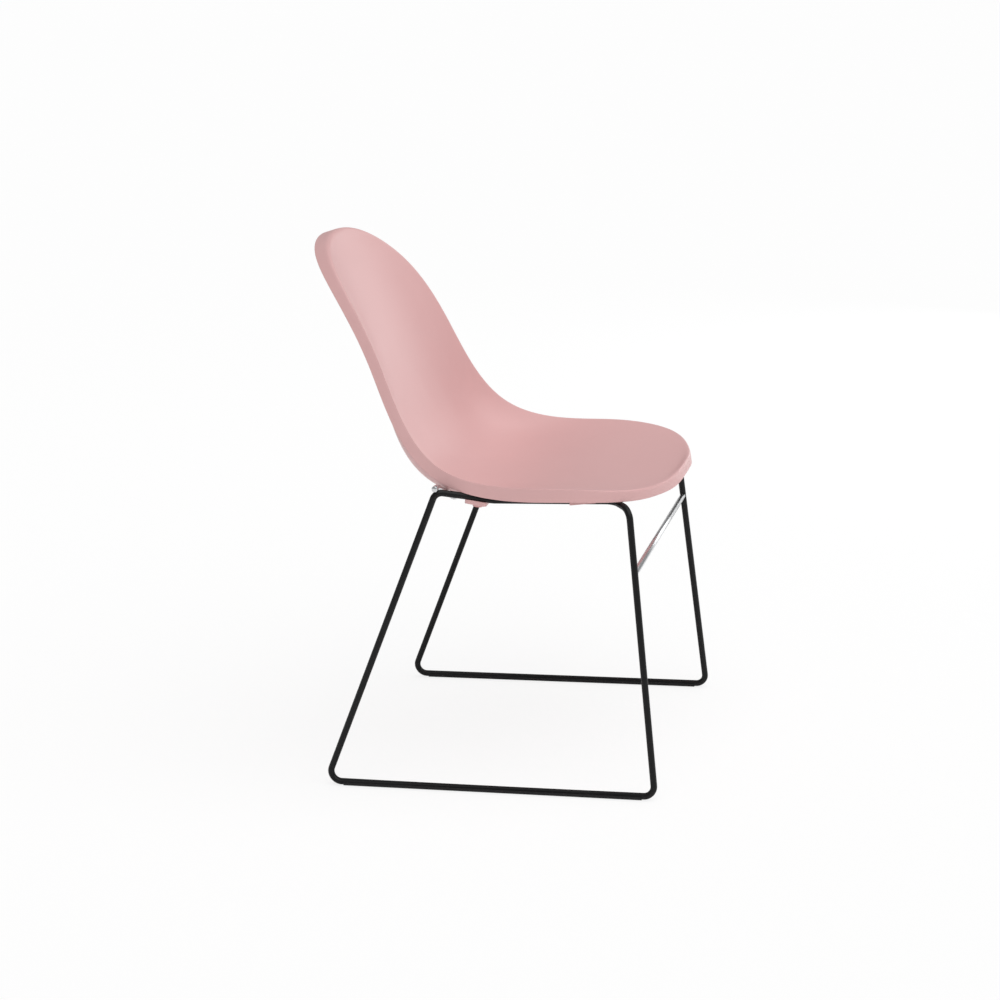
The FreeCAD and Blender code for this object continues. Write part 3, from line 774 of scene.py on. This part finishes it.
# Name, place and bend radius of each corner of the left loop
LOOP_CORNERS = (
    ("rear foot", (240, 255.9, FLOOR_LEVEL), 16),
    ("rear top bend", (230.5, 54.5, SEAT_HEIGHT - 0.3), 12.5),
    ("start of the rail", (206.5, 12, SEAT_HEIGHT - 13), 25),
    ("rail at the clamp", (204, -24, SEAT_HEIGHT - 19), 60),
    ("rail at the side", (201, -120, SEAT_HEIGHT - 19), 150),
    ("rail at the front", (170, -200, SEAT_HEIGHT - 27), 18),
    ("top of the front leg", (201.5, -228.4, SEAT_HEIGHT - 31), 19),
    ("front foot", (240, -258.3, FLOOR_LEVEL), 16),
)
LEFT, RIGHT = 1, -1
SIDES = (("left", LEFT), ("right", RIGHT))


def on_side(point, side):
    """A point of the left half, or its mirror image."""
    return Vector((point[0] * side, point[1], point[2]))


for side_name, side in SIDES:
    loop = make_bar(
        side_name + "_loop",
        [on_side(place, side) for _, place, _ in LOOP_CORNERS],
        [bend for _, _, bend in LOOP_CORNERS],
        ROD_RADIUS,
        POWDER_COAT,
        closed=True,
    )
    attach(loop, "root")
    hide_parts(side_name + "_sled_loop")
    print(loop.name, "has", len(loop.data.polygons), "faces")


# %% [markdown]
# The two bright bars stay free of the black coat. The front one runs straight between
# the legs. The rear one lies on top of the loops' rear bends and dips under the bucket
# of the seat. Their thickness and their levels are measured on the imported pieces.

# %% Cross bars
stretcher_low, stretcher_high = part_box("front_stretcher")
crossbar_low, crossbar_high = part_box("rear_crossbar")
STRETCHER_RADIUS = (stretcher_high.z - stretcher_low.z) / 2 / MM
CROSSBAR_RADIUS = (crossbar_high.y - crossbar_low.y) / 2 / MM
stretcher_y = (stretcher_low.y + stretcher_high.y) / 2 / MM
stretcher_z = (stretcher_low.z + stretcher_high.z) / 2 / MM
stretcher_x = stretcher_high.x / MM
stretcher = make_bar(
    "front_bright_bar",
    [Vector((x, stretcher_y, stretcher_z)) for x in (-stretcher_x, stretcher_x)],
    [0, 0],
    STRETCHER_RADIUS,
    BRIGHT_STEEL,
)
crossbar_y = (crossbar_low.y + crossbar_high.y) / 2 / MM
crossbar_top = crossbar_high.z / MM - CROSSBAR_RADIUS
crossbar_flat = crossbar_low.z / MM + CROSSBAR_RADIUS
# Distance from the middle, height and bend radius of the corners of the left half
CROSSBAR_HALF = ((236, crossbar_top, 0), (222, crossbar_top, 25), (130, crossbar_flat, 60))
half_points = [Vector((x, crossbar_y, z)) for x, z, _ in CROSSBAR_HALF]
half_bends = [bend for _, _, bend in CROSSBAR_HALF]
crossbar = make_bar(
    "rear_bright_bar",
    half_points + [on_side(point, RIGHT) for point in reversed(half_points)],
    half_bends + half_bends[::-1],
    CROSSBAR_RADIUS,
    BRIGHT_STEEL,
)
for bar, node in ((stretcher, "front_stretcher"), (crossbar, "rear_crossbar")):
    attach(bar, "root")
    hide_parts(node)
print("bright bars are", 2 * STRETCHER_RADIUS, "and", round(2 * CROSSBAR_RADIUS, 1), "mm thick")


# %% [markdown]
# ## Rail seats under the shell
#
# The rails lie in seats moulded under the seat: a short channel near the front and a
# block at the rear that the clamp is screwed to. A boolean could join them to the shell,
# but it would break up the cage's even rows. Their tops only have to disappear into the
# curved wall, so each is a grid of columns whose tops are found by looking straight up
# until the underside of the shell is met.

# %% Rail seats
SEAT_STEPS = 8
SUNK_IN_WALL = 2.0
LOOK_FROM = SEAT_HEIGHT - 80
shell_tree = BVHTree.FromObject(shell, bpy.context.evaluated_depsgraph_get())


def underside_height(x, y):
    """Height of the shell's underside over a place, in millimetres."""
    hit = shell_tree.ray_cast(Vector((x, y, LOOK_FROM)) * MM, Vector((0, 0, 1)))[0]
    return hit.z / MM


def make_rail_seat(name, corners, levels):
    """A block from a level up into the wall; its first two corners are the front ones."""
    inner_front, outer_front, outer_rear, inner_rear = [Vector(place) for place in corners]
    mesh = bmesh.new()
    tops, feet = {}, {}
    for i in range(SEAT_STEPS + 1):
        for j in range(SEAT_STEPS + 1):
            out, back = i / SEAT_STEPS, j / SEAT_STEPS
            front_place = inner_front.lerp(outer_front, out)
            place = front_place.lerp(inner_rear.lerp(outer_rear, out), back)
            top = underside_height(place.x, place.y) + SUNK_IN_WALL
            foot = levels[0] + (levels[1] - levels[0]) * back
            tops[i, j] = mesh.verts.new(Vector((place.x, place.y, top)) * MM)
            feet[i, j] = mesh.verts.new(Vector((place.x, place.y, foot)) * MM)
    for grid in (tops, feet):
        for i in range(SEAT_STEPS):
            for j in range(SEAT_STEPS):
                places = ((i, j), (i + 1, j), (i + 1, j + 1), (i, j + 1))
                mesh.faces.new([grid[place] for place in places])
    edge = [(i, 0) for i in range(SEAT_STEPS)]
    edge += [(SEAT_STEPS, j) for j in range(SEAT_STEPS)]
    edge += [(i, SEAT_STEPS) for i in range(SEAT_STEPS, 0, -1)]
    edge += [(0, j) for j in range(SEAT_STEPS, 0, -1)]
    for here, there in zip(edge, edge[1:] + edge[:1]):
        mesh.faces.new((feet[here], feet[there], tops[there], tops[here]))
    block = finish_mesh(name, mesh, POLYPROPYLENE)
    for polygon in block.data.polygons:
        polygon.use_smooth = False
    return block


# Corners in plan: front inner, front outer, rear outer and rear inner
FRONT_CHANNEL = ((171.3, -176), (187.3, -176), (201.3, -140), (185.3, -140))
REAR_BLOCK = ((176.7, -16.3), (207.2, -16.3), (207.2, 16.3), (176.7, 16.3))
# Each with the level of its lower face at the front and at the rear, which follows the rail
RAIL_SEATS = (
    ("front_channel", FRONT_CHANNEL, (444.2, 444.2)),
    ("rear_block", REAR_BLOCK, (448.4, 453.8)),
)
for side_name, side in SIDES:
    for seat_name, corners, levels in RAIL_SEATS:
        rail_seat = make_rail_seat(
            side_name + "_" + seat_name, [(x * side, y) for x, y in corners], levels
        )
        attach(rail_seat, "root")
print("four rail seats")


# %% [markdown]
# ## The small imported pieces
#
# The clamps, screws and glide strips are small and hard edged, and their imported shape
# is right, so they stay as they are and only get their finish.

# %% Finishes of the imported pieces
FINISHES = (
    ("_rear_clamp", POLYPROPYLENE),
    ("_clamp_screw", ZINC),
    ("_glide_strip", NYLON),
)


def finish_node(node, material):
    """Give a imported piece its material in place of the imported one."""
    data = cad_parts[node].data
    data.materials.clear()
    data.materials.append(material)


for side_name, _ in SIDES:
    for ending, material in FINISHES:
        finish_node(side_name + ending, material)
for node, material in (
    ("seat_shell", POLYPROPYLENE),
    ("left_sled_loop", POWDER_COAT),
    ("right_sled_loop", POWDER_COAT),
    ("front_stretcher", BRIGHT_STEEL),
    ("rear_crossbar", BRIGHT_STEEL),
):
    finish_node(node, material)
print("finished", 2 * len(FINISHES), "small pieces")


# %% [markdown]
# ## The floor
#
# The photograph is a cut-out on white. The floor is white paper, and to the camera most
# of its white is a glow, so that it is seen as nearly white while the rest of it still
# darkens where the chair keeps light from it. A stronger light could whiten it too, but
# it would bleach the chair.

# %% Floor
FLOOR_HALF = 30.0
PAPER_GLOW = 0.8


def make_floor_material():
    """White paper that keeps the chair's shadow."""
    material, tree = new_material("white_paper")
    paper = add_node(tree, "ShaderNodeBsdfDiffuse", inputs={"Color": linear("#ffffff")})
    glow = add_node(tree, "ShaderNodeEmission", inputs={
        "Color": linear("#ffffff"), "Strength": 1.0,
    })
    seen = add_node(tree, "ShaderNodeLightPath").outputs["Is Camera Ray"]
    share = add_node(tree, "ShaderNodeMapRange", inputs={
        "Value": seen, "To Min": 0.0, "To Max": PAPER_GLOW,
    })
    mix = add_node(tree, "ShaderNodeMixShader", inputs={
        "Fac": share.outputs["Result"], 1: paper.outputs["BSDF"], 2: glow.outputs["Emission"],
    })
    add_node(tree, "ShaderNodeOutputMaterial", inputs={"Surface": mix.outputs["Shader"]})
    return material


floor_mesh = bmesh.new()
floor_corners = [floor_mesh.verts.new((x, y, 0.0)) for x, y in (
    (-FLOOR_HALF, -FLOOR_HALF), (FLOOR_HALF, -FLOOR_HALF),
    (FLOOR_HALF, FLOOR_HALF), (-FLOOR_HALF, FLOOR_HALF),
)]
floor_mesh.faces.new(floor_corners)
floor = finish_mesh("paper_floor", floor_mesh, make_floor_material())
print("floor is", 2 * FLOOR_HALF, "m wide")


# %% [markdown]
# ## The room
#
# A world is light that comes from all round. This one has two strengths: it is white
# where the camera sees it and weaker as a light on the chair, so that the plastic keeps
# its colour. The Light Path node tells the two apart.

# %% World
ROOM_LIGHT = 0.36
WHITE = 1.0
world = bpy.data.worlds.new("white_room")
bpy.context.scene.world = world
world.use_nodes = True
world_tree = world.node_tree
world_tree.nodes.clear()
light_path = add_node(world_tree, "ShaderNodeLightPath")
shown = add_node(world_tree, "ShaderNodeMath", {"operation": "MAXIMUM"}, {
    0: light_path.outputs["Is Camera Ray"], 1: light_path.outputs["Is Transmission Ray"],
})
strength = add_node(world_tree, "ShaderNodeMapRange", inputs={
    "Value": shown.outputs["Value"], "To Min": ROOM_LIGHT, "To Max": WHITE,
})
room = add_node(world_tree, "ShaderNodeBackground", inputs={
    "Color": linear("#ffffff"), "Strength": strength.outputs["Result"],
})
add_node(world_tree, "ShaderNodeOutputWorld", inputs={"Surface": room.outputs["Background"]})
print("room light", ROOM_LIGHT)


# %% [markdown]
# ## The lamps
#
# A studio lights a chair through large white cloths, which leave only soft shadows. A
# very wide sun stands in for the cloth overhead, because it is as strong everywhere on
# the floor, and a square panel at the far side slides a sheen over the back.

# %% Lamps
def add_sky(name, place, watts_per_m2, spread_degrees):
    """A very wide sun: soft light that is as strong everywhere on the floor."""
    data = bpy.data.lights.new(name, "SUN")
    data.energy = watts_per_m2
    data.angle = math.radians(spread_degrees)
    lamp = bpy.data.objects.new(name, data)
    lamp.rotation_euler = (Vector(place) * -1).to_track_quat("-Z", "Y").to_euler()
    bpy.context.scene.collection.objects.link(lamp)
    return lamp


def add_panel(name, place, target, width, watts):
    """A soft square light panel aimed at a point."""
    data = bpy.data.lights.new(name, "AREA")
    data.size = width
    data.energy = watts
    panel = bpy.data.objects.new(name, data)
    panel.location = place
    aim = Vector(target) - Vector(place)
    panel.rotation_euler = aim.to_track_quat("-Z", "Y").to_euler()
    bpy.context.scene.collection.objects.link(panel)
    return panel


add_sky("ceiling_light", place=(-0.3, -0.45, 1.0), watts_per_m2=2.0, spread_degrees=75)
add_panel("side_panel", place=(3.0, -1.3, 1.0), target=(0.0, 0.15, 0.7), width=1.6, watts=13)
print("one wide ceiling light and a side panel")


# %% [markdown]
# ## Colour management
#
# The Standard view shows a colour as it was written.

# %% Colour management
bpy.context.scene.view_settings.view_transform = "Standard"
